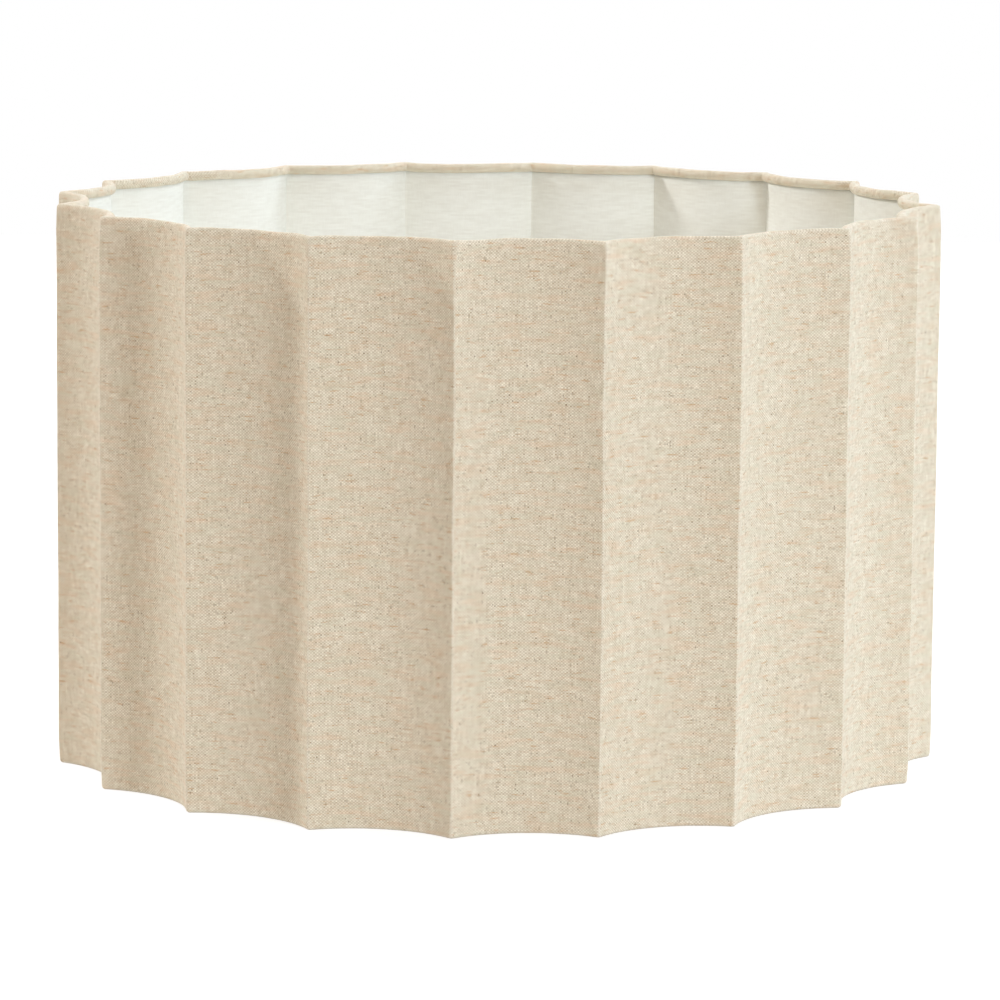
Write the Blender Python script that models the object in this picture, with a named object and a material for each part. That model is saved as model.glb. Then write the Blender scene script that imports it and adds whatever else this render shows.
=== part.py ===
"""Fluted drum lamp shade: a linen cover rolled over two wire rings, folded stiffening
strips, a white lining, and a four-arm fitter for a lampholder at the bottom.

Metres, +Z up. The bottom edge stands on z = 0 and the shade's axis is the Z axis.
An angle round the shade is measured from -Y towards +X, and fold 0 lies at -Y.
"Depth" is the distance inwards from the outer face of the linen.
"""

import math

import bmesh
import bpy
from mathutils import Matrix, Vector

# The shade as a whole
SHADE_DIAMETER = 0.400  # over the folds
SHADE_HEIGHT = 0.252
FLUTES = 20
FLUTE_FLOOR_RADIUS = 0.1875  # from the axis to the deepest line of a flute

# The folds between the flutes: crisp half way up, rounder where they pass over the rings
MIDDLE_FOLD = 0.0012
HEM_FOLD = 0.0045
TIGHTEST_FOLD = 0.0003
FOLD_EASES_OVER = 0.026  # height above an edge at which the fold has become crisp

# Sheets, wires and the clearance between pieces that touch on the real shade
GAP = 0.0003
LINEN_THICK = 0.0005
STRIP_THICK = 0.0004
LINING_THICK = 0.0003
RING_WIRE_RADIUS = 0.0014
STRIP_END_CLEARANCE = 0.0004  # from a strip's long edge to the start of the fold

# Fitter, welded to the bottom ring
ARMS = 4
ARM_WIRE_RADIUS = 0.0016
ARM_START_HEIGHT = 0.0026
ARM_LEVEL_LENGTH = 0.010
ARM_BEND = 0.008
FITTER_HOLE_RADIUS = 0.021
FITTER_OUTER_RADIUS = 0.030
FITTER_THICK = 0.0016
FITTER_HEIGHT = 0.038  # underside of the fitter ring above the bottom edge
ARM_UNDER_FITTER = 0.0035  # how far an arm reaches in under the ring

# Roundness of the model
ARC_STEPS = 5  # straight steps along one flute
ROLL_SIDES = 8
FITTER_STEPS = 40
BEND_STEPS = 4

HALF_FLUTE = math.pi / FLUTES
STRIP_DEPTH = LINEN_THICK + GAP
LINING_DEPTH = STRIP_DEPTH + STRIP_THICK + GAP
ROLL_INNER = RING_WIRE_RADIUS + GAP
ROLL_OUTER = ROLL_INNER + LINEN_THICK
RING_DEPTH = ROLL_OUTER  # the ring's wire is centred in its roll, flush with the wall
RING_HEIGHT = ROLL_OUTER
WALL_EDGE = RING_HEIGHT + ROLL_INNER  # where the strips and the lining stop


def clear_scene():
    for old in list(bpy.data.objects):
        bpy.data.objects.remove(old, do_unlink=True)


def material(name, red, green, blue, roughness, metallic=0.0):
    """A plain Principled material, with its colour in linear values."""
    made = bpy.data.materials.new(name)
    made.use_nodes = True
    shader = made.node_tree.nodes["Principled BSDF"]
    shader.inputs["Base Color"].default_value = (red, green, blue, 1.0)
    shader.inputs["Roughness"].default_value = roughness
    shader.inputs["Metallic"].default_value = metallic
    made.diffuse_color = (red, green, blue, 1.0)
    return made


def outwards(angle):
    """Unit vector away from the axis, at an angle from -Y towards +X."""
    return Vector((math.sin(angle), -math.cos(angle)))


def flute_arc_radius():
    """Radius of a flute's outer face, so that it meets a fold that reaches the full diameter."""
    centre = SHADE_DIAMETER / 2 - MIDDLE_FOLD
    along = centre * math.cos(HALF_FLUTE)
    top = MIDDLE_FOLD**2 - FLUTE_FLOOR_RADIUS**2 - centre**2 + 2 * along * FLUTE_FLOOR_RADIUS
    return top / (2 * (FLUTE_FLOOR_RADIUS - along - MIDDLE_FOLD))


ARC_RADIUS = flute_arc_radius()
ARC_CENTRE = FLUTE_FLOOR_RADIUS + ARC_RADIUS


def fold_at(depth, outer_fold):
    """(fold radius, its centre's distance from the axis, half the flute's arc angle) at a depth."""
    fold = max(outer_fold - depth, TIGHTEST_FOLD)
    reach = ARC_RADIUS + depth + fold
    sideways = ARC_CENTRE * math.sin(HALF_FLUTE)
    centre = ARC_CENTRE * math.cos(HALF_FLUTE) - math.sqrt(reach**2 - sideways**2)
    half_arc = math.asin(centre * math.sin(HALF_FLUTE) / reach)
    return fold, centre, half_arc


def flute_points(flute, depth, outer_fold, clearance=0.0):
    """Points along one flute's arc, from the fold before it to the fold after it."""
    half_arc = fold_at(depth, outer_fold)[2] - clearance / ARC_RADIUS
    middle = (2 * flute + 1) * HALF_FLUTE
    centre = ARC_CENTRE * outwards(middle)
    points = []
    for step in range(ARC_STEPS + 1):
        turn = half_arc * (2 * step / ARC_STEPS - 1)
        points.append(centre - (ARC_RADIUS + depth) * outwards(middle - turn))
    return points


def path_round(depth, outer_fold):
    """The closed fluted outline at a depth: each flute's arc, then the tip of the fold after it."""
    fold, centre, _ = fold_at(depth, outer_fold)
    points = []
    for flute in range(FLUTES):
        points += flute_points(flute, depth, outer_fold)
        points.append((centre + fold) * outwards(2 * (flute + 1) * HALF_FLUTE))
    return points


def add_object(name, mesh_builder, finish):
    """Turns a bmesh into a smooth-shaded object with its faces pointing out."""
    bmesh.ops.recalc_face_normals(mesh_builder, faces=mesh_builder.faces)
    mesh = bpy.data.meshes.new(name)
    mesh_builder.to_mesh(mesh)
    mesh_builder.free()
    mesh.materials.append(finish)
    mesh.shade_smooth()
    mesh.set_sharp_from_angle(angle=math.radians(35))
    made = bpy.data.objects.new(name, mesh)
    bpy.context.collection.objects.link(made)
    return made


def join_rings(mesh_builder, rings, closed_along):
    """Faces between neighbouring rings of vertices. Each ring is itself a closed loop."""
    count = len(rings)
    for index in range(count if closed_along else count - 1):
        here = rings[index]
        there = rings[(index + 1) % count]
        size = len(here)
        for corner in range(size):
            after = (corner + 1) % size
            mesh_builder.faces.new((here[corner], here[after], there[after], there[corner]))


def sheet_round(name, profile, finish):
    """Sweeps a closed (depth, height, outer fold) profile once round the fluted outline."""
    mesh_builder = bmesh.new()
    rings = []
    for depth, height, outer_fold in profile:
        outline = path_round(depth, outer_fold)
        rings.append([mesh_builder.verts.new((*point, height)) for point in outline])
    join_rings(mesh_builder, rings, closed_along=True)
    return add_object(name, mesh_builder, finish)


def roll_profile(radius, top):
    """The linen's turn round a ring: from the outer wall, past the edge, back up behind the wire."""
    side = 2 * math.pi / ROLL_SIDES
    corner = radius / math.cos(side / 2)
    points = []
    for step in range(6):
        angle = math.pi + side * (step + 0.5)
        depth = RING_DEPTH + corner * math.cos(angle)
        height = RING_HEIGHT + corner * math.sin(angle)
        points.append((depth, SHADE_HEIGHT - height if top else height, HEM_FOLD))
    return points


def wall_rows(depth):
    """The two heights between which the folds stay crisp."""
    heights = (FOLD_EASES_OVER, SHADE_HEIGHT - FOLD_EASES_OVER)
    return [(depth, height, MIDDLE_FOLD) for height in heights]


def linen_cover(finish):
    outer = roll_profile(ROLL_OUTER, top=False)[::-1]
    outer += wall_rows(0.0)
    outer += roll_profile(ROLL_OUTER, top=True)
    inner = roll_profile(ROLL_INNER, top=False)[::-1]
    inner += wall_rows(LINEN_THICK)
    inner += roll_profile(ROLL_INNER, top=True)
    return sheet_round("linen_cover", outer + inner[::-1], finish)


def sheet_rows(depth):
    """Rows of a sheet that stops short of both rolls."""
    low = (depth, WALL_EDGE, HEM_FOLD)
    high = (depth, SHADE_HEIGHT - WALL_EDGE, HEM_FOLD)
    return [low, *wall_rows(depth), high]


def lining(finish):
    outer = sheet_rows(LINING_DEPTH)
    inner = sheet_rows(LINING_DEPTH + LINING_THICK)
    return sheet_round("lining", outer + inner[::-1], finish)


def stiffener_strip(flute, finish):
    """One plastic strip, as wide as its flute and as tall as the wall between the rolls."""
    mesh_builder = bmesh.new()
    rings = []
    outer_rows = sheet_rows(STRIP_DEPTH)
    inner_rows = sheet_rows(STRIP_DEPTH + STRIP_THICK)
    for (outer, height, fold), (inner, _, _) in zip(outer_rows, inner_rows):
        front = flute_points(flute, outer, fold, STRIP_END_CLEARANCE)
        back = flute_points(flute, inner, fold, STRIP_END_CLEARANCE)
        around = front + back[::-1]
        rings.append([mesh_builder.verts.new((*point, height)) for point in around])
    join_rings(mesh_builder, rings, closed_along=False)
    for ring in (rings[0], rings[-1]):
        for step in range(ARC_STEPS):
            mesh_builder.faces.new((ring[step], ring[step + 1], ring[-step - 2], ring[-step - 1]))
    return add_object(f"stiffener_strip_{flute + 1:02d}", mesh_builder, finish)


def wire(name, points, radius, closed, finish):
    """A round wire along straight steps between points."""
    curve = bpy.data.curves.new(name, "CURVE")
    curve.dimensions = "3D"
    curve.bevel_depth = radius
    curve.bevel_resolution = 1 if closed else 2
    curve.use_fill_caps = not closed
    spline = curve.splines.new("POLY")
    spline.points.add(len(points) - 1)
    for place, point in zip(spline.points, points):
        place.co = (*point, 1.0)
    spline.use_cyclic_u = closed
    curve.materials.append(finish)
    made = bpy.data.objects.new(name, curve)
    bpy.context.collection.objects.link(made)
    return made


def ring_wire(name, height, finish):
    outline = path_round(RING_DEPTH, HEM_FOLD)
    points = [(*point, height) for point in outline]
    return wire(name, points, RING_WIRE_RADIUS, True, finish)


def rounded_route(corners):
    """The same route with each inner corner eased over ARM_BEND on both sides."""
    route = [corners[0]]
    for before, corner, after in zip(corners, corners[1:], corners[2:]):
        start = corner + (before - corner).normalized() * ARM_BEND
        end = corner + (after - corner).normalized() * ARM_BEND
        for step in range(BEND_STEPS + 1):
            share = step / BEND_STEPS
            first = start.lerp(corner, share)
            route.append(first.lerp(corner.lerp(end, share), share))
    route.append(corners[-1])
    return route


def arm_angle(index):
    """Arms leave the ring at the middle of every fifth flute, a quarter turn apart."""
    return HALF_FLUTE + 2 * math.pi * index / ARMS


def arm_start_radius():
    return FLUTE_FLOOR_RADIUS - RING_DEPTH - RING_WIRE_RADIUS - GAP


def fitter_arm(index, finish):
    """From the bottom ring, level through the roll, up a long slope and in under the fitter ring."""
    under = FITTER_HEIGHT - GAP - ARM_WIRE_RADIUS
    places = (
        (arm_start_radius(), ARM_START_HEIGHT),
        (arm_start_radius() - ARM_LEVEL_LENGTH, ARM_START_HEIGHT),
        (FITTER_OUTER_RADIUS + ARM_LEVEL_LENGTH, under),
        (FITTER_OUTER_RADIUS - ARM_UNDER_FITTER, under),
    )
    direction = outwards(arm_angle(index))
    corners = [Vector((*(radius * direction), height)) for radius, height in places]
    return wire(f"fitter_arm_{index + 1}", rounded_route(corners), ARM_WIRE_RADIUS, False, finish)


def snip_for_arm(cover, index):
    """Cuts the turned-in linen away where an arm leaves the bottom ring."""
    length = 2 * ROLL_OUTER
    mesh_builder = bmesh.new()
    bmesh.ops.create_cone(
        mesh_builder,
        cap_ends=True,
        segments=ROLL_SIDES,
        radius1=ARM_WIRE_RADIUS + GAP,
        radius2=ARM_WIRE_RADIUS + GAP,
        depth=length,
    )
    direction = outwards(arm_angle(index))
    middle = (arm_start_radius() + GAP - length / 2) * direction
    turn = Vector((0, 0, 1)).rotation_difference(Vector((*direction, 0)))
    place = Matrix.Translation((*middle, ARM_START_HEIGHT)) @ turn.to_matrix().to_4x4()
    bmesh.ops.transform(mesh_builder, matrix=place, verts=mesh_builder.verts)
    cutter = add_object(f"snip_{index + 1}", mesh_builder, cover.active_material)
    cutter.hide_render = True
    cutter.display_type = "WIRE"
    cut = cover.modifiers.new(f"snip_{index + 1}", "BOOLEAN")
    cut.operation = "DIFFERENCE"
    cut.solver = "EXACT"
    cut.object = cutter


def fitter_ring(finish):
    """A flat steel ring that the lampholder's shoulder carries."""
    profile = (
        (FITTER_HOLE_RADIUS, FITTER_HEIGHT),
        (FITTER_OUTER_RADIUS, FITTER_HEIGHT),
        (FITTER_OUTER_RADIUS, FITTER_HEIGHT + FITTER_THICK),
        (FITTER_HOLE_RADIUS, FITTER_HEIGHT + FITTER_THICK),
    )
    mesh_builder = bmesh.new()
    rings = []
    for step in range(FITTER_STEPS):
        direction = outwards(2 * math.pi * step / FITTER_STEPS)
        rings.append([mesh_builder.verts.new((*(r * direction), z)) for r, z in profile])
    join_rings(mesh_builder, rings, closed_along=True)
    return add_object("fitter_ring", mesh_builder, finish)


def build():
    clear_scene()
    cover = linen_cover(material("natural_linen", 0.665, 0.558, 0.429, 0.92))
    lining(material("white_lining", 0.80, 0.78, 0.73, 0.85))
    strip_finish = material("white_pvc_strip", 0.82, 0.81, 0.78, 0.55)
    for flute in range(FLUTES):
        stiffener_strip(flute, strip_finish)
    ring_finish = material("coated_steel_ring", 0.78, 0.78, 0.76, 0.45)
    ring_wire("top_ring", SHADE_HEIGHT - RING_HEIGHT, ring_finish)
    ring_wire("bottom_ring", RING_HEIGHT, ring_finish)
    arm_finish = material("coated_steel_arm", 0.80, 0.80, 0.78, 0.40)
    for index in range(ARMS):
        fitter_arm(index, arm_finish)
        snip_for_arm(cover, index)
    fitter_ring(material("coated_steel_fitter", 0.80, 0.80, 0.78, 0.38))


build()
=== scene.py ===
# %% [markdown]
# A fluted drum lamp shade, dressed over its imported model.
#
# The imported model is the frame: every size and place comes from it, and nothing in it is moved.
# This lesson replaces its two plain cloth solids with finely folded sheets, gives the hard pieces
# their coatings, and then lights and frames the shade as a shop would on a white table. The box of
# the CAD model is measured first and printed.

# %% Load the frame
import math

import bmesh
import bpy
from mathutils import Matrix, Vector, noise


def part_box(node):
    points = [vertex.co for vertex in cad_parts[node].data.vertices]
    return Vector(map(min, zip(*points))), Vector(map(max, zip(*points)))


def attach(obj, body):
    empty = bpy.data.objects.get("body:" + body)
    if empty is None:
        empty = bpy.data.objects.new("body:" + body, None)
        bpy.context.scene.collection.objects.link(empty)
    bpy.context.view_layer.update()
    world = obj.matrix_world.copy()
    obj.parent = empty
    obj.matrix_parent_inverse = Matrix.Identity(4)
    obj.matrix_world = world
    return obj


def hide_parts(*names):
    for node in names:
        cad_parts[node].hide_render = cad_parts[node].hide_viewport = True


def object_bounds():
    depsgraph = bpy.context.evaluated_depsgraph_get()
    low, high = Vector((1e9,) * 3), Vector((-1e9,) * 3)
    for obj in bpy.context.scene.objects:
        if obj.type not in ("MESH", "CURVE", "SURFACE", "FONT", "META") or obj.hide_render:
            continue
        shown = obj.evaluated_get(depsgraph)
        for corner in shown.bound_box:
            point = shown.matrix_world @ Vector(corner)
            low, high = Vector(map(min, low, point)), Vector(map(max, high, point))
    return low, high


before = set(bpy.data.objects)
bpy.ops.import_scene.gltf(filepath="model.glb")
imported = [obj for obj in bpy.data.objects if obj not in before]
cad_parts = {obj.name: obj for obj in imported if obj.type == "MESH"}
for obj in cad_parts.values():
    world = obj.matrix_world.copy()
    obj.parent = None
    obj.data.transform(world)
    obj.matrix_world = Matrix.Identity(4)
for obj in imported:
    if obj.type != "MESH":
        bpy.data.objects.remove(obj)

cad_low, cad_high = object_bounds()
print("CAD box, mm:", [round(1000 * (high - low), 1) for low, high in zip(cad_low, cad_high)])

# %% [markdown]
# The shade's outline is worked out once, from a few real sizes. Each of the twenty flutes is an arc
# that is hollow from outside, and two arcs meet in a fold that points outwards. It could be drawn as
# a curve and extruded, but each layer would then need its own curve. A sheet of cloth deeper in the
# wall follows the same arcs with a larger radius, so one formula serves every layer. "Depth" is the
# distance inwards from the face of the linen, and an angle is taken from -Y to +X.

# %% Sizes of the wall
HEIGHT = cad_high.z
REACH = cad_high.x
FLUTES = 20
FLUTE_FLOOR = 0.1875  # axis to the deepest line of a flute
HALF_FLUTE = math.pi / FLUTES
CAD_FOLD = 0.0012  # the fold radius that brings the CAD outline to its full width
fold_centre = REACH - CAD_FOLD
along = fold_centre * math.cos(HALF_FLUTE)
ARC_RADIUS = (CAD_FOLD**2 - FLUTE_FLOOR**2 - fold_centre**2 + 2 * along * FLUTE_FLOOR) / (
    2 * (FLUTE_FLOOR - along - CAD_FOLD)
)
ARC_CENTRE = FLUTE_FLOOR + ARC_RADIUS
print(f"each flute is an arc of {1000 * ARC_RADIUS:.1f} mm radius")

# %% [markdown]
# On the real shade a fold is crisp along the wall, because the cloth is glued to stiff strips with
# a narrow gap between them. It opens into a rounder bend at the rolled edges, because a steel wire
# can't be bent as sharply as paper. A bevel would round every fold alike, so the radius is a
# function of the height instead. No two folds are quite the same either: a little smooth noise makes
# the crispness and the straightness of each one wander by a fraction of a millimetre.

# %% Folds
WALL_FOLD = 0.0008
HEM_FOLD = 0.0018
TIGHTEST_FOLD = 0.0003  # what a cloth can be creased to, in the deeper layers
FOLD_EASES_OVER = 0.012
FOLD_WANDER = 0.0003  # sideways, along the wall
FOLD_VARIES = 0.3  # the share by which its radius wanders


def ease(share):
    """0 to 1 with no corner at either end."""
    share = min(max(share, 0.0), 1.0)
    return share * share * (3 - 2 * share)


def wander(a, b, c=0.0):
    """Smooth noise between about -1 and 1."""
    return noise.noise(Vector((a, b, c))) * 1.6


def fold_radius(fold, height):
    edge = min(height, HEIGHT - height)
    crisp = ease(edge / FOLD_EASES_OVER)
    radius = HEM_FOLD + (WALL_FOLD - HEM_FOLD) * crisp
    return radius * (1 + FOLD_VARIES * wander(7.3 * fold, 30 * height))


def fold_shift(fold, height):
    """How far a fold strays sideways, as an angle about the axis."""
    return FOLD_WANDER * wander(5.1 * fold + 40, 14 * height) / REACH


def fold_at(depth, outside):
    """(radius, centre's distance from the axis, half the arc's angle) of a fold in one layer."""
    radius = max(outside - depth, TIGHTEST_FOLD)
    reach = ARC_RADIUS + depth + radius
    sideways = ARC_CENTRE * math.sin(HALF_FLUTE)
    centre = ARC_CENTRE * math.cos(HALF_FLUTE) - math.sqrt(reach**2 - sideways**2)
    return radius, centre, math.asin(centre * math.sin(HALF_FLUTE) / reach)


print(f"fold radii: {1000 * WALL_FOLD:.1f} mm on the wall, {1000 * HEM_FOLD:.1f} mm at the edges")

# %% [markdown]
# A sheet is a grid: columns stand at stations round the outline, and rows follow the cloth from one
# cut edge to the other. A station is a flute with a share of its arc from -1 to 1, or the fold after
# it with a share of its bend. Even spacing would cut the folds' corners off, so the columns crowd
# together where the cloth turns.

# %% Stations round the outline
ARC_STEPS = 20
FOLD_STEPS = 6
STATIONS = []
for flute in range(FLUTES):
    for step in range(ARC_STEPS + 1):
        STATIONS.append((flute, "arc", 2 * step / ARC_STEPS - 1))
    for step in range(1, FOLD_STEPS):
        STATIONS.append((flute, "fold", 2 * step / FOLD_STEPS - 1))
print(len(STATIONS), "stations")


def outwards(angle):
    """The direction away from the axis at an angle."""
    return Vector((math.sin(angle), -math.cos(angle)))


def wall_point(station, depth, height):
    """Where a station stands in the layer at this depth and height."""
    flute, kind, share = station
    if kind == "fold":
        fold = flute + 1
        radius, centre, half_arc = fold_at(depth, fold_radius(fold % FLUTES, height))
        angle = 2 * fold * HALF_FLUTE
        facing = angle + share * (HALF_FLUTE + half_arc)
        flat = centre * outwards(angle) + radius * outwards(facing)
        shift = fold_shift(fold % FLUTES, height)
    else:
        before = fold_shift(flute, height)
        after = fold_shift((flute + 1) % FLUTES, height)
        nearest = flute if share < 0 else (flute + 1) % FLUTES
        half_arc = fold_at(depth, fold_radius(nearest, height))[2]
        middle = (2 * flute + 1) * HALF_FLUTE
        facing = middle - share * half_arc
        flat = ARC_CENTRE * outwards(middle) - (ARC_RADIUS + depth) * outwards(facing)
        shift = before + (after - before) * (share + 1) / 2
    flat.rotate(Matrix.Rotation(shift, 2))
    return Vector((*flat, height))


# %% [markdown]
# Glued cloth isn't dead flat. It swells a hair away from its strips here and there, and never into
# them. A displacement modifier could do that to one sheet, but the linen, the lap and the lining have
# to swell together, so they share a function. Noise on a plane would leave a step where the outline
# closes on itself, so the finer part is read on a circle.

# %% Swelling of the glued cloth
def place_round(station, waves):
    """Two inputs for noise that closes on itself round the shade, with so many waves to a flute."""
    flute, kind, share = station
    place = flute + 1 if kind == "fold" else flute + 0.5 + share / 2
    turn = 2 * math.pi * place / FLUTES
    radius = waves * FLUTES / (2 * math.pi)
    return radius * math.cos(turn), radius * math.sin(turn)


SLOW_SWELL = 0.00045
COCKLE = 0.00010  # the finer puckers


def swell(station, height):
    """How far the glued cloth stands off its strip, in metres."""
    flute, kind, share = station
    belly = 1 - share * share if kind == "arc" else 0.0
    slow = 0.5 + 0.5 * wander(2.3 * flute + share, 9 * height, 5.0)
    cockle = 0.5 + 0.5 * wander(*place_round(station, 3.0), 28 * height)
    away = ease(min(height, HEIGHT - height) / 0.02)
    return away * (SLOW_SWELL * belly * slow + COCKLE * cockle)


print(f"the linen stands off its strips by up to {1000 * (SLOW_SWELL + COCKLE):.2f} mm")

# %% [markdown]
# Real threads follow the cloth over a fold or a rolled edge. A map projected from the front or
# round an axis would stretch them there, so each sheet is measured along itself: U runs round the
# shade and V runs along the rows, both in millimetres of cloth. Every row is given the width of the
# middle one, so that the threads run straight up and down.

# %% A function that measures a sheet
def measure_cloth(grid, columns):
    """Width of the cloth, and each point's place round it and up it, all in millimetres."""
    across = []
    for line in grid:
        run = [0.0]
        for here, there in zip(line, line[1:] + line[:1]):
            run.append(run[-1] + 1000 * (there.co - here.co).length)
        across.append(run)
    width = across[len(grid) // 2][columns]
    across = [[reached * width / run[columns] for reached in run] for run in across]
    middle = ARC_STEPS // 2 % len(grid[0])
    up = [0.0]
    for below, above in zip(grid, grid[1:]):
        up.append(up[-1] + 1000 * (above[middle].co - below[middle].co).length)
    return width, across, up


print("height is measured up column", ARC_STEPS // 2, "of", len(STATIONS))

# %% [markdown]
# A cloth simulation could drape the sheets, but a glued cover can't hang: it goes where its strips
# and rings hold it, so each point is placed. Two values go with each point. Crest marks the ridge
# of a fold, where the linen is painted paler, partly for handling wear and partly as a painted
# highlight, and where the lining is painted darker as painted shade in its grooves. Foot marks the
# last millimetre above the table, which is painted darker as a painted contact shadow. The thickness
# is left to a modifier, which puts it behind the face.

# %% Two functions that make a sheet
# where the painted contact shadow at the foot of the hem starts, and how far up it fades
CONTACT_SHADE_STARTS = 0.0001
CONTACT_SHADE_FADES_OVER = 0.0008


def sheet_mesh(name, stations, rows, place, closed=True):
    """A grid of stations by rows. place(station, row) gives a point."""
    builder = bmesh.new()
    crest = builder.verts.layers.float.new("crest")
    foot = builder.verts.layers.float.new("foot")
    grid = []
    for row in rows:
        line = []
        for station in stations:
            vert = builder.verts.new(place(station, row))
            # crest: fold ridges, painted paler on the linen (wear and painted highlight) and darker
            # on the lining (painted shade); foot: where the painted contact shadow goes
            vert[crest] = 1 - abs(station[2]) if station[1] == "fold" else 0.0
            vert[foot] = 1 - ease((vert.co.z - CONTACT_SHADE_STARTS) / CONTACT_SHADE_FADES_OVER)
            line.append(vert)
        grid.append(line)
    columns = len(stations) if closed else len(stations) - 1
    width, across, up = measure_cloth(grid, columns)
    cloth = builder.loops.layers.uv.new("cloth")
    for r in range(len(rows) - 1):
        for c in range(columns):
            after = (c + 1) % len(stations)
            corners = ((r, c), (r, after), (r + 1, after), (r + 1, c))
            face = builder.faces.new([grid[i][j] for i, j in corners])
            face.smooth = True
            for loop, (i, j) in zip(face.loops, ((r, c), (r, c + 1), (r + 1, c + 1), (r + 1, c))):
                loop[cloth].uv = (across[i][j], up[i])
    mesh = bpy.data.meshes.new(name)
    builder.to_mesh(mesh)
    builder.free()
    made = bpy.data.objects.new(name, mesh)
    bpy.context.scene.collection.objects.link(made)
    made["cloth_size"] = (width / 1000, up[-1] / 1000)
    print(f"{name}: {width:.0f} by {up[-1]:.0f} mm of cloth, {len(mesh.polygons)} faces")
    return made


def thicken(piece, thickness):
    """Gives a sheet its thickness on the side away from its face."""
    solid = piece.modifiers.new("thickness", "SOLIDIFY")
    solid.thickness = thickness
    solid.offset = -1
    solid.use_even_offset = False


print("a sheet that goes right round has", len(STATIONS), "columns")

# %% [markdown]
# The cover is one sheet of linen. It runs down the wall, round a steel ring at each edge, and is
# tucked back behind the ring, which makes the soft bead inside the rim. A tube laid over the edge
# would look much the same from afar, but close up there would be a line where none is. So the rows
# go on round the ring: they are the wall's heights, close together near the edges where the folds
# change shape, with a roll at each end.

# %% Linen cover
LINEN_THICK = 0.0005
ROLL = 0.0022  # radius of the bead, over the cloth
ROLL_STEPS = 14
TUCK_ANGLE = math.radians(278)  # how far round the ring the cloth goes
SQUARENESS = 3.2  # of the bead's outer quarter, where 2 would be a circle
WALL_STARTS = 0.0018  # above the bead's middle
PINCH = 0.00018  # where a thumb has pressed the cloth behind the ring
RIM_RISE = 0.00035  # how much the top edge rises and falls


def roll_row(step, top):
    """(depth, height, on_roll) of a row of the bead, from the wall round to the tucked edge."""
    angle = math.pi + TUCK_ANGLE * step / ROLL_STEPS
    squarer = SQUARENESS if angle < 1.5 * math.pi else 2.0
    spread = abs(math.cos(angle))**squarer + abs(math.sin(angle))**squarer
    reach = ROLL / spread**(1 / squarer)
    depth = ROLL + reach * math.cos(angle)
    height = ROLL + reach * math.sin(angle)
    return depth, HEIGHT - height if top else height, True


def wall_heights():
    """Heights up the wall, spaced 2 mm apart by the edges and 12 mm apart in the middle."""
    heights = []
    height = ROLL + WALL_STARTS
    while height < HEIGHT / 2:
        heights.append(height)
        height += 0.002 + 0.010 * ease(height / 0.06)
    return heights + [HEIGHT / 2] + [HEIGHT - h for h in reversed(heights)]


bottom_roll = [roll_row(step, False) for step in range(ROLL_STEPS, -1, -1)]
wall = [(0.0, height, False) for height in wall_heights()]
top_roll = [roll_row(step, True) for step in range(ROLL_STEPS + 1)]
linen_rows = bottom_roll + wall + top_roll


def linen_point(station, row):
    depth, height, on_roll = row
    if not on_roll:
        return wall_point(station, -swell(station, height), height)
    at_top = height > HEIGHT / 2
    pinch = PINCH * (depth / ROLL) * wander(*place_round(station, 9.0), 3.0 * at_top)
    rise = RIM_RISE * wander(*place_round(station, 4.0), 8.0) * at_top
    return wall_point(station, depth + pinch, height + rise)


linen = sheet_mesh("linen_cover_sheet", STATIONS, linen_rows, linen_point)
thicken(linen, LINEN_THICK)

# %% [markdown]
# The lining is a white sheet glued to the inner side of the strips. It shows at the back of the
# shade, over the front rim, and nearly all of it shows from below. It stops where the beads begin.
# The wall's own inner face could be painted white instead, but a separate sheet has its own weave,
# its own thickness and a real edge under the beads. It swells inwards, and less than the linen does
# outwards.

# %% White lining
LINING_DEPTH = 0.0018  # of the face that is seen
LINING_THICK = 0.0003
LINING_SWELLS = 0.6  # as a share of the linen's swelling
lining_edge = 2 * ROLL - 0.0005  # tucked half a millimetre under the bead
lining_wall = [h for h in wall_heights() if lining_edge + 0.001 < h < HEIGHT - 0.006]
lining_rows = [lining_edge, *lining_wall, HEIGHT - lining_edge]


def lining_point(station, height):
    return wall_point(station, LINING_DEPTH + LINING_SWELLS * swell(station, height), height)


lining = sheet_mesh("lining_sheet", STATIONS[::-1], lining_rows, lining_point)
thicken(lining, LINING_THICK)

# %% [markdown]
# A sheet that goes right round has to end on itself. On a shade the end is turned under and glued
# over the beginning, along a fold where it shows least, and the shade is set with it to the back.
# A bump in the material would leave the outline smooth, so it is a real, flat ridge: a raised strip
# of cloth 14 mm wide, round the rearmost fold and a little past it.

# %% Lap at the back
LAP_LIFT = 0.0007
LAP_REACHES = 0.36  # share of the next flute's arc, counted in the -1 to 1 scale
LAP_CLEARANCE = 0.00005
LAP_ENDS = 0.0016  # from the edges of the shade
BACK_FOLD = FLUTES // 2
lap_stations = [(BACK_FOLD - 1, "fold", share) for share in (-0.7, -0.35, 0.0, 0.35, 0.7)]
lap_stations += [(BACK_FOLD, "arc", -1 + LAP_REACHES * step / 6) for step in range(7)]


def lap_point(station, height):
    lift = LAP_LIFT * ease((min(height, HEIGHT - height) - 0.0005) / 0.004)
    at_start = ease((station[2] + 0.9) / 0.9) if station[1] == "fold" else 1.0
    depth = -swell(station, height) - lift * at_start - LAP_CLEARANCE
    return wall_point(station, depth, height)


lap_heights = [LAP_ENDS, *wall_heights(), HEIGHT - LAP_ENDS]
lap = sheet_mesh("linen_lap", lap_stations, lap_heights, lap_point, closed=False)
thicken(lap, LAP_LIFT)

# %% [markdown]
# The wire arms are resistance-welded under the fitter ring. A weld of that kind leaves a low,
# lumpy collar where the metal has flowed. Metaballs would flow together in the same way, but they
# can't be given an exact size, so each collar is a sphere pressed flat against the ring and
# roughened with noise.

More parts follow.
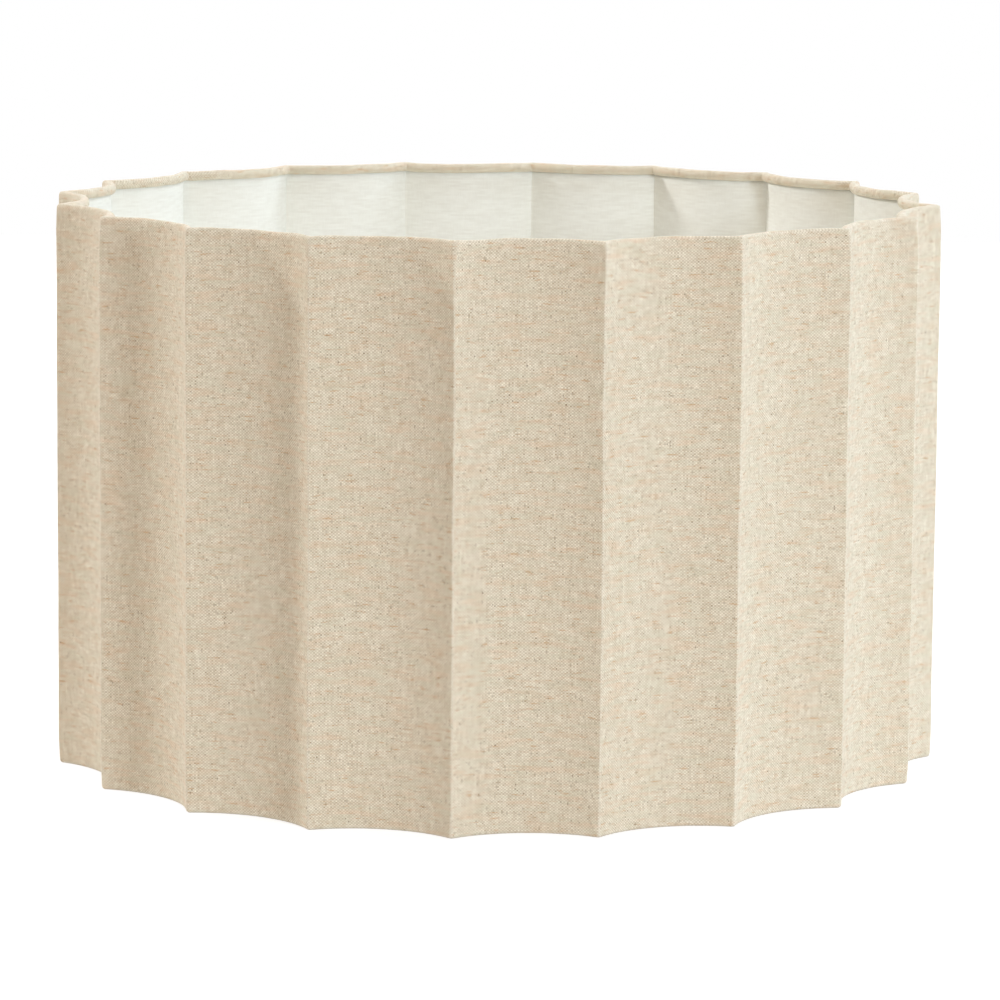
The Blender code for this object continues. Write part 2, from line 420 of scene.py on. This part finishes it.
# %% Welds under the fitter ring
UNDER_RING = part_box("fitter_ring")[0].z
ARM_COUNT = sum(name.startswith("fitter_arm_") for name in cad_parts)
WELD_OUT = 0.0283  # axis to weld
WELD_HALF = (0.0031, 0.0024, 0.0019)  # half its length along the arm, its width and its height
WELD_FLAT = 0.0016  # where its top is pressed flat
WELD_DROP = 0.0017  # its middle below the ring
WELD_LUMPS = 0.13


def weld(name, angle):
    builder = bmesh.new()
    bmesh.ops.create_icosphere(builder, subdivisions=4, radius=1.0)
    for vert in builder.verts:
        lump = 1 + WELD_LUMPS * wander(*(2.1 * vert.co + Vector((3 * angle, 0, 0))))
        vert.co = lump * vert.co * Vector(WELD_HALF)
        vert.co.z = min(vert.co.z, WELD_FLAT)
    turn = Matrix.Rotation(angle - math.pi / 2, 4, "Z")
    place = WELD_OUT * outwards(angle)
    builder.transform(Matrix.Translation((*place, UNDER_RING - WELD_DROP)) @ turn)
    mesh = bpy.data.meshes.new(name)
    builder.to_mesh(mesh)
    builder.free()
    mesh.shade_smooth()
    made = bpy.data.objects.new(name, mesh)
    bpy.context.scene.collection.objects.link(made)
    return made


welds = []
for index in range(ARM_COUNT):
    welds.append(weld(f"fitter_weld_{index + 1}", HALF_FLUTE + index * math.pi / 2))
print(len(welds), "welds at", round(1000 * UNDER_RING, 1), "mm")

# %% [markdown]
# A finish is a tree of nodes that ends in a shader. A picture wrapped round the piece would be
# quicker, but it blurs close up and doesn't know how large a thread is, so nodes work every pattern
# out. One helper turns a colour as a designer would quote it, a hex value, into the linear numbers
# that the renderer adds up. Another adds a node, sets what it is told and links what it is given.

# %% Helpers for materials
def linear(code):
    """A '#rrggbb' sRGB colour as linear RGBA."""
    parts = [int(code[i:i + 2], 16) / 255 for i in (1, 3, 5)]
    parts = [p / 12.92 if p <= 0.04045 else ((p + 0.055) / 1.055) ** 2.4 for p in parts]
    return (*parts, 1.0)


def feed(tree, node, inputs):
    """Gives each input a value or a link. A node given as a value stands for its first output."""
    for key, value in inputs.items():
        if isinstance(value, bpy.types.Node):
            value = next(socket for socket in value.outputs if socket.enabled)
        if isinstance(value, bpy.types.NodeSocket):
            tree.links.new(value, node.inputs[key])
        else:
            node.inputs[key].default_value = value


def add(tree, kind, inputs=None, **settings):
    """Adds a shader node with its settings and links."""
    made = tree.nodes.new("ShaderNode" + kind)
    for name, value in settings.items():
        setattr(made, name, value)
    feed(tree, made, inputs or {})
    return made


def new_material(name):
    """An empty material with its surface ready: (material, tree, shader)."""
    made = bpy.data.materials.new(name)
    made.use_nodes = True
    return made, made.node_tree, made.node_tree.nodes["Principled BSDF"]


print("mid grey #808080 is", round(linear("#808080")[0], 3), "in linear light")

# %% [markdown]
# Linen and lining are both plain weaves: each thread goes over one and under the next, so the cloth
# is a chequer of warp and weft. A repeated tile would show as a pattern, so the nodes below number
# the threads instead, and each one, and each crossing, can have its own tone. Slow noise first moves
# the cloth by a fraction of a millimetre, because no thread lies quite straight. Between two
# crossings is a small gap, and only its middle is painted dark, as painted shade between the threads.

# %% A function that draws a plain weave
def weave(tree, warp_mm, weft_mm, stray_mm):
    """The threads, crossings and gaps of a plain weave, on the cloth coordinates in millimetres."""
    place = add(tree, "UVMap", uv_map="cloth")
    stray = add(tree, "TexNoise", {"Vector": place, "Scale": 0.11, "Detail": 2.0},
                noise_dimensions="2D")
    centred = add(tree, "VectorMath", {0: stray.outputs["Color"], 1: (0.5, 0.5, 0.5)},
                  operation="SUBTRACT")
    moved = add(tree, "VectorMath", {0: centred, 1: (stray_mm, stray_mm, 0.0), 2: place},
                operation="MULTIPLY_ADD")
    split = add(tree, "SeparateXYZ", {0: moved})
    parts = {"place": place, "across": split.outputs[0], "up": split.outputs[1]}
    for thread, run, spacing in (("warp", "across", warp_mm), ("weft", "up", weft_mm)):
        count = add(tree, "Math", {0: parts[run], 1: spacing}, operation="DIVIDE")
        parts[thread] = add(tree, "Math", {0: count}, operation="FLOOR")
        share = add(tree, "Math", {0: count}, operation="FRACT")
        off_middle = add(tree, "Math", {0: share, 1: 2.0, 2: -1.0}, operation="MULTIPLY_ADD")
        parts[thread + "_edge"] = add(tree, "Math", {0: off_middle, 1: off_middle},
                                      operation="MULTIPLY")
    both = add(tree, "Math", {0: parts["warp"], 1: parts["weft"]}, operation="ADD")
    half = add(tree, "Math", {0: both, 1: 0.5}, operation="MULTIPLY")
    odd = add(tree, "Math", {0: half}, operation="FRACT")
    parts["warp_on_top"] = add(tree, "Math", {0: odd, 1: 2.0}, operation="MULTIPLY")
    number = add(tree, "CombineXYZ", {0: parts["warp"], 1: parts["weft"]})
    parts["crossing"] = add(tree, "TexWhiteNoise", {"Vector": number}, noise_dimensions="2D")
    parts["gap"] = add(tree, "Mix", {"Factor": parts["warp_on_top"], "A": parts["weft_edge"],
                                     "B": parts["warp_edge"]})
    # the middle of each gap, where painted shade between the threads goes
    parts["gap_middle"] = add(tree, "Math", {0: parts["gap"], 1: 3.0}, operation="POWER")
    return parts


print("threads are numbered on the map called", linen.data.uv_layers[0].name)

# %% [markdown]
# A spun thread is thicker here and thinner there, and the one beside it differs. Ordinary noise
# would make patches that spread over many threads. Here it is stretched along one thread, and each
# thread reads its own row of it. The other helper lays a tint over the cloth where such a pattern
# is strong, the way a stain or a stray fibre lies on it.

# %% Two functions that vary the threads
ROWS_APART = 7.31  # how far apart in the noise two neighbouring threads read it


def along_thread(tree, parts, thread, length_mm, seed, detail=1.0):
    """Smooth noise along each thread, with no likeness between neighbours."""
    run = parts["across"] if thread == "weft" else parts["up"]
    reached = add(tree, "Math", {0: run, 1: length_mm}, operation="DIVIDE")
    row = add(tree, "Math", {0: parts[thread], 1: ROWS_APART, 2: seed}, operation="MULTIPLY_ADD")
    where = add(tree, "CombineXYZ", {0: reached, 1: row})
    return add(tree, "TexNoise", {"Vector": where, "Scale": 1.0, "Detail": detail},
               noise_dimensions="2D")


def lay_over(tree, cloth, pattern, tint, most, low=0.0, high=1.0, rise="LINEAR"):
    """Lays a tint over the cloth, none where the pattern is low and a share of most where high."""
    share = add(tree, "MapRange", {"Value": pattern, "From Min": low, "From Max": high,
                                   "To Max": most}, interpolation_type=rise)
    return add(tree, "Mix", {"Factor": share, "A": cloth, "B": linear(tint)}, data_type="RGBA")


print("neighbouring threads read the noise", ROWS_APART, "apart")

# %% [markdown]
# Linen is spun from flax, whose fibres are long and uneven, and this one is undyed. Its colour could
# be one beige with a grain over it, but the cloth would look printed. So it is built up the way the
# cloth is. Every crossing shows a short float of thread, and each float has its own tone between a
# brown and a cream, lighter where the warp is on top. A real linen of this kind has threads about
# 0.55 mm apart, which is too fine to show, so they are drawn a third coarser along the wall and a
# sixth coarser up it.

# %% Linen threads
WARP_MM = 0.74  # a third coarser than the real thread, so that it shows
WEFT_MM = 0.64  # a sixth coarser, for the same reason


def flax_threads(tree, parts):
    """Colour of the bare threads: cream and brown floats, each with its own tone."""
    weft_tone = along_thread(tree, parts, "weft", 5.0, 3.0, 2.0)
    warp_tone = along_thread(tree, parts, "warp", 7.0, 11.0, 2.0)
    thread = add(tree, "Math", {0: weft_tone, 1: warp_tone}, operation="ADD")
    own = add(tree, "Math", {0: parts["crossing"], 1: 0.14, 2: -0.06}, operation="MULTIPLY_ADD")
    grain = add(tree, "Math", {0: thread, 1: 0.38, 2: own}, operation="MULTIPLY_ADD")
    grain = add(tree, "Math", {0: parts["warp_on_top"], 1: 0.29, 2: grain},
                operation="MULTIPLY_ADD")
    return add(tree, "Mix", {"Factor": grain, "A": linear("#a38b67"), "B": linear("#fbf5e4")},
               data_type="RGBA")


print("linen threads per cm:", round(10 / WARP_MM, 1), "by", round(10 / WEFT_MM, 1))

# %% [markdown]
# Flax isn't one colour. The cloth has wide, soft smudges that lie along the weft, some rosy, some
# greyish and some the colour of straw. A slub is a thick, straw-coloured place that runs along one
# thread. A fleck is a bit of brown bark that was spun in, and a speck is the dark end of a fibre at
# one crossing. Placing each by hand would repeat them, so each kind is a pattern of its own.

# %% What flax leaves in the cloth
SMUDGES_PER_MM = (0.06, 0.34, 1.0)


def flax_marks(tree, parts, cloth, slub):
    """Smudges, slubs, flecks and specks, laid over the threads from the widest to the smallest."""
    along_weft = add(tree, "Mapping", {"Vector": parts["place"], "Scale": SMUDGES_PER_MM})
    wide = add(tree, "TexNoise", {"Vector": along_weft, "Scale": 1.0, "Detail": 3.0},
               noise_dimensions="2D")
    wide = add(tree, "SeparateColor", {0: wide.outputs["Color"]})
    narrow = add(tree, "TexNoise", {"Vector": along_weft, "Scale": 2.4, "Detail": 2.0},
                 noise_dimensions="2D")
    narrow = add(tree, "SeparateColor", {0: narrow.outputs["Color"]})
    fleck = along_thread(tree, parts, "weft", 1.5, 91.0)
    for pattern, tint, most, low, high in (
        (wide.outputs[0], "#dcb896", 0.30, 0.45, 0.75),  # rosy smudge
        (wide.outputs[1], "#cfccb4", 0.30, 0.42, 0.72),  # greyish smudge
        (narrow.outputs[2], "#c2935f", 0.50, 0.62, 0.80),  # straw smudge
        (slub, "#b08a5e", 0.25, 0.68, 0.80),
        (fleck, "#6f5232", 0.65, 0.77, 0.85),
        (parts["crossing"], "#745a36", 0.32, 0.016, 0.008),  # speck, at one crossing in eighty
    ):
        cloth = lay_over(tree, cloth, pattern, tint, most, low, high, "SMOOTHSTEP")
    return cloth


print("smudges are about", round(1 / SMUDGES_PER_MM[0]), "by", round(1 / SMUDGES_PER_MM[1]), "mm")

# %% [markdown]
# Linen is matte, and a fuzz of loose fibre catches light at a grazing angle, which is the shader's
# sheen. The gaps between the threads are duller, and painted darker as painted shade. The ridges of
# the folds are painted paler, partly for handling wear and partly as a painted highlight, and the
# hem is painted darker where it meets the table, as a painted contact shadow. Modelling each thread
# would take millions of faces, so the relief of the threads and slubs goes to the bump, a tenth of a
# millimetre high. It is kept weak, so that it doesn't drown the tones of the threads.

# %% Linen
def natural_linen():
    """Undyed woven linen: matte, with a fine even grain, warm grey-beige and flecked with straw."""
    made, tree, shader = new_material("natural_linen_plain_weave")
    parts = weave(tree, WARP_MM, WEFT_MM, 0.5)
    slub = along_thread(tree, parts, "weft", 5.0, 57.0)
    cloth = flax_marks(tree, parts, flax_threads(tree, parts), slub)
    crest = add(tree, "Attribute", attribute_name="crest").outputs["Fac"]
    foot = add(tree, "Attribute", attribute_name="foot").outputs["Fac"]
    # painted shade: the gaps between the threads are painted darker
    cloth = lay_over(tree, cloth, parts["gap_middle"], "#7c6a4e", 0.08)
    # fold ridges painted paler: partly handling wear, partly a painted highlight
    cloth = lay_over(tree, cloth, crest, "#f2ebdd", 0.22)
    # painted contact shadow: the last millimetre above the table is painted darker
    cloth = lay_over(tree, cloth, foot, "#6b6154", 0.60)
    thread = add(tree, "Math", {0: 1.0, 1: parts["gap"]}, operation="SUBTRACT")
    height = add(tree, "Math", {0: parts["crossing"], 1: 0.5, 2: thread}, operation="MULTIPLY_ADD")
    thick = add(tree, "MapRange", {"Value": slub, "From Min": 0.68, "From Max": 0.80},
                interpolation_type="SMOOTHSTEP")
    height = add(tree, "Math", {0: thick, 1: 0.8, 2: height}, operation="MULTIPLY_ADD")
    bump = add(tree, "Bump", {"Strength": 0.2, "Distance": 0.0001, "Height": height})
    rough = add(tree, "MapRange", {"Value": parts["gap"], "To Min": 0.82, "To Max": 0.97})
    feed(tree, shader, {"Base Color": cloth, "Normal": bump, "Roughness": rough, "IOR": 1.5,
                        "Specular IOR Level": 0.25, "Sheen Weight": 0.12, "Sheen Roughness": 0.5})
    return made


LINEN = natural_linen()
for piece in (linen, lap):
    piece.data.materials.append(LINEN)
print("linen is", len(LINEN.node_tree.nodes), "nodes")

# %% [markdown]
# The lining is a fine white cotton-rich cloth, bleached, with a thread every 0.45 mm. Plain white
# would look like plastic. From where one looks at a shade its single threads are too fine to see,
# but streaks along the weft show, so the weft is drawn twice as coarse as it is, at 0.9 mm.

# %% Lining cloth
LINING_THREAD_MM = 0.45
LINING_WEFT_MM = 2 * LINING_THREAD_MM  # twice the real spacing, so that it shows


def white_lining():
    """Bleached plain-weave lining: bright and matte, with faint streaks along the weft."""
    made, tree, shader = new_material("bleached_cotton_lining")
    parts = weave(tree, LINING_THREAD_MM, LINING_WEFT_MM, 0.6)
    weft_tone = along_thread(tree, parts, "weft", 9.0, 5.0, 2.0)
    warp_tone = along_thread(tree, parts, "warp", 5.0, 5.0, 2.0)
    faint = add(tree, "Math", {0: warp_tone, 1: 0.6}, operation="MULTIPLY")
    streak = add(tree, "Math", {0: weft_tone, 1: 1.4, 2: faint}, operation="MULTIPLY_ADD")
    cloth = lay_over(tree, linear("#ebeae2"), streak, "#f3f3ec", 1.0, 0.5, 1.5, "SMOOTHSTEP")
    # painted shade: the gaps between the lining's threads are painted a little darker
    cloth = lay_over(tree, cloth, parts["gap_middle"], "#b9b6a5", 0.05)
    # painted shade: the lining is painted darker along its fold grooves
    crest = add(tree, "Attribute", attribute_name="crest").outputs["Fac"]
    cloth = lay_over(tree, cloth, crest, "#d4d1c2", 0.15)
    height = add(tree, "Math", {0: streak, 1: 0.5, 2: parts["gap"]}, operation="MULTIPLY_ADD")
    bump = add(tree, "Bump", {"Strength": 0.2, "Distance": 0.00004, "Height": height})
    feed(tree, shader, {"Base Color": cloth, "Normal": bump, "Roughness": 0.88,
                        "Specular IOR Level": 0.2, "Sheen Weight": 0.06})
    return made


lining.data.materials.append(white_lining())
print("lining threads:", LINING_THREAD_MM, "by", LINING_WEFT_MM, "mm")

# %% [markdown]
# The strips are rigid PVC sheet, rolled (calendered) to 0.4 mm. Rolling leaves a satin face with
# faint lines along the strip. They are hidden between the two cloths and could be left plain, but
# they are real pieces that someone may take out and look at, so they get a real finish. The lines
# are noise that is stretched along the strip, about 1 mm apart.

# %% PVC strips
def calendered_pvc():
    """Rolled rigid PVC sheet: satin white, with faint draw lines up the strip."""
    made, tree, shader = new_material("calendered_rigid_pvc")
    place = add(tree, "TexCoord").outputs["Object"]
    drawn = add(tree, "Mapping", {"Vector": place, "Scale": (900.0, 900.0, 12.0)})
    lines = add(tree, "TexNoise", {"Vector": drawn, "Scale": 1.0, "Detail": 3.0})
    cloudy = add(tree, "TexNoise", {"Vector": place, "Scale": 60.0, "Detail": 2.0})
    tone = add(tree, "Mix", {"Factor": cloudy, "A": linear("#e9e7e0"), "B": linear("#f4f3ee")},
               data_type="RGBA")
    bump = add(tree, "Bump", {"Strength": 0.2, "Distance": 0.00003, "Height": lines})
    rough = add(tree, "MapRange", {"Value": lines, "To Min": 0.42, "To Max": 0.56})
    feed(tree, shader, {"Base Color": tone, "Roughness": rough, "Normal": bump, "IOR": 1.54})
    return made


PVC = calendered_pvc()
print("strips:", PVC.name)

# %% [markdown]
# Shade frames are mild steel wire, powder-coated white so that they don't rust on the cloth or
# show through it. Paint would be smoother and metal would mirror the room. Baked powder flows out
# to a satin skin with a fine orange peel about 1 mm across, and it is thinner, so a little greyer,
# here and there.

# %% Powder-coated steel
def powder_coat(name, shade, roughness):
    """Baked powder on steel: satin, with a fine orange peel and faint thin places."""
    made, tree, shader = new_material(name)
    place = add(tree, "TexCoord").outputs["Object"]
    peel = add(tree, "TexNoise", {"Vector": place, "Scale": 1000.0, "Detail": 2.0})
    thin = add(tree, "TexNoise", {"Vector": place, "Scale": 140.0, "Detail": 4.0})
    tone = lay_over(tree, linear(shade), thin, "#b7b5ad", 0.35, 0.62, 0.74, "SMOOTHSTEP")
    bump = add(tree, "Bump", {"Strength": 0.25, "Distance": 0.00006, "Height": peel})
    rough = add(tree, "MapRange", {"Value": peel, "To Min": roughness - 0.06,
                                   "To Max": roughness + 0.08})
    feed(tree, shader, {"Base Color": tone, "Roughness": rough, "Normal": bump, "IOR": 1.5})
    return made


RING_COAT = powder_coat("powder_coated_ring_wire", "#e6e5df", 0.45)
ARM_COAT = powder_coat("powder_coated_arm_wire", "#ecebe6", 0.40)
FITTER_COAT = powder_coat("powder_coated_pressed_steel", "#eeede8", 0.36)
print("powder coats:", RING_COAT.name, ARM_COAT.name, FITTER_COAT.name)

# %% [markdown]
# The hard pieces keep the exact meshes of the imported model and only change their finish. One
# material for all of them would do, but drawn wire and pressed steel take the powder differently,
# so the rings, the arms and the fitter each have their own coat. The welds are coated with the ring.

# %% Finish the hard pieces
def finish_of(node):
    if node.startswith("stiffener_strip"):
        return PVC
    if node.startswith("fitter_arm"):
        return ARM_COAT
    return FITTER_COAT if node == "fitter_ring" else RING_COAT


HARD = [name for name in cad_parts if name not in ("linen_cover", "lining")]
for name in HARD:
    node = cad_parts[name]
    node.data.materials.clear()
    node.data.materials.append(finish_of(name))
for piece in welds:
    piece.data.materials.append(FITTER_COAT)
print(len(HARD), "hard pieces finished")

# %% [markdown]
# Every new piece rides on the shade's one body. It could be parented by hand, but a helper parents
# each one to the body's empty, and the plain cloth solids that the new sheets stand in for are
# hidden. Each sheet also carries the size of cloth it was cut from.

# %% Tie the pieces to the frame
for piece in (linen, lining, lap, *welds):
    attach(piece, "root")
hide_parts("linen_cover")
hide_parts("lining")

# %% [markdown]
# The floor is a plain white table, so wide that it fills the view. It could be made white by more
# light from above, but that would flatten the flutes too, so it glows a little itself, as a light
# table does, and the shade throws no hard shadow on it. The room round it is a white studio. Its
# light is a shade warm, because it has been all round the room, and the softboxes are a shade cool,
# like daylight: it is the difference that makes the flutes' shaded sides look warm.

# %% Floor and room
def white_table():
    """A white laminate top: matte enough to hold no reflection, and glowing a little."""
    made, tree, shader = new_material("white_laminate_table")
    grain = add(tree, "TexNoise", {"Scale": 4.0, "Detail": 2.0})
    tone = add(tree, "Mix", {"Factor": grain, "A": linear("#9b9b9a"), "B": linear("#9f9f9e")},
               data_type="RGBA")
    feed(tree, shader, {"Base Color": tone, "Roughness": 0.9,
                        "Emission Color": linear("#ffffff"), "Emission Strength": 0.76})
    return made


TABLE_RADIUS = 2.4
bpy.ops.mesh.primitive_circle_add(vertices=96, radius=TABLE_RADIUS, fill_type="NGON")
floor = bpy.context.object
floor.name = "floor"
floor.data.materials.append(white_table())

WARM = "#ffe1c2"
COOL = "#e0f0ff"
ROOM_LIGHT = 0.31
room = bpy.data.worlds.new("white_room")
bpy.context.scene.world = room
room.use_nodes = True
walls = room.node_tree
seen = add(walls, "LightPath").outputs["Is Camera Ray"]
strength = add(walls, "Mix", {"Factor": seen, "A": ROOM_LIGHT, "B": 1.0})
colour = add(walls, "Mix", {"Factor": seen, "A": linear(WARM), "B": linear("#ffffff")},
             data_type="RGBA")
feed(walls, walls.nodes["Background"], {"Strength": strength, "Color": colour})
print(f"table {2 * TABLE_RADIUS:.1f} m across, room light {ROOM_LIGHT}")

# %% [markdown]
# Light shapes the flutes. Sun lamps would give hard shadows, so every lamp is a softbox: a square
# that shines from its whole face. A small key at front right is what makes one side of each fold
# lighter than the other. Boxes out to both sides graze the flutes there and whiten the edges of the
# shade, a weak one hangs high in front, and one behind keeps the lining and the back lit. The one
# overhead reaches only what faces up, so it draws the rims as light lines.

# %% Softboxes
LAMP_DISTANCE = 3.0
NEUTRAL = "#f3f5f6"


def softbox(name, angle, rise, width, watts, tint):
    """A square light, at an angle round the shade and a rise above the table, in degrees."""
    data = bpy.data.lights.new(name, "AREA")
    data.shape = "SQUARE"
    data.size = width
    data.energy = watts
    data.color = linear(tint)[:3]
    made = bpy.data.objects.new(name, data)
    bpy.context.scene.collection.objects.link(made)
    turn, tilt = math.radians(angle), math.radians(rise)
    away = Vector((*(math.cos(tilt) * outwards(turn)), math.sin(tilt)))
    made.location = LAMP_DISTANCE * away + Vector((0, 0, HEIGHT / 2))
    made.rotation_euler = away.to_track_quat("Z", "Y").to_euler()
    made.visible_camera = False
    return made


softbox("overhead", 0, 86, 0.8, 42.0, COOL)
softbox("high_front", 0, 60, 0.8, 10.0, WARM)
softbox("key_front_right", 37, 11, 0.4, 28.0, COOL)
softbox("side_right", 90, 8, 0.8, 19.5, COOL)
softbox("edge_right", 120, 35, 0.8, 28.0, COOL)
softbox("side_left", -108, 30, 0.35, 45.0, NEUTRAL)
softbox("behind", 180, 35, 0.8, 36.0, COOL)
print("softboxes stand", LAMP_DISTANCE, "m away")

# %% [markdown]
# The camera looks down a little under 9 degrees from 2.3 m away. A short lens close up would splay
# the folds, so it is a long one, as one uses to keep upright folds upright. It stands about 5
# degrees to the right of the front fold and leans by half a degree. The plain view transform keeps
# the whites of the table and the lining white.

# %% Camera
CAMERA_ANGLE = math.radians(4.92)
CAMERA_OUT = 2.267  # from the shade's axis
CAMERA_UP = 0.4575  # above the table
LOOKS_DOWN = math.radians(8.613)
LOOKS_RIGHT = math.radians(0.065)
LEANS = math.radians(0.454)
camera_data = bpy.data.cameras.new("camera")
camera_data.lens = 181.15
camera_data.sensor_width = 36.0
camera = bpy.data.objects.new("camera", camera_data)
bpy.context.scene.collection.objects.link(camera)
camera.location = (*(CAMERA_OUT * outwards(CAMERA_ANGLE)), CAMERA_UP)
look = Matrix.Rotation(CAMERA_ANGLE - LOOKS_RIGHT, 3, "Z") @ Matrix.Rotation(
    math.pi / 2 - LOOKS_DOWN, 3, "X") @ Matrix.Rotation(LEANS, 3, "Z")
camera.rotation_euler = look.to_euler()
bpy.context.scene.camera = camera
bpy.context.scene.view_settings.view_transform = "Standard"
print(f"camera {camera.location.length:.2f} m from the shade's foot")
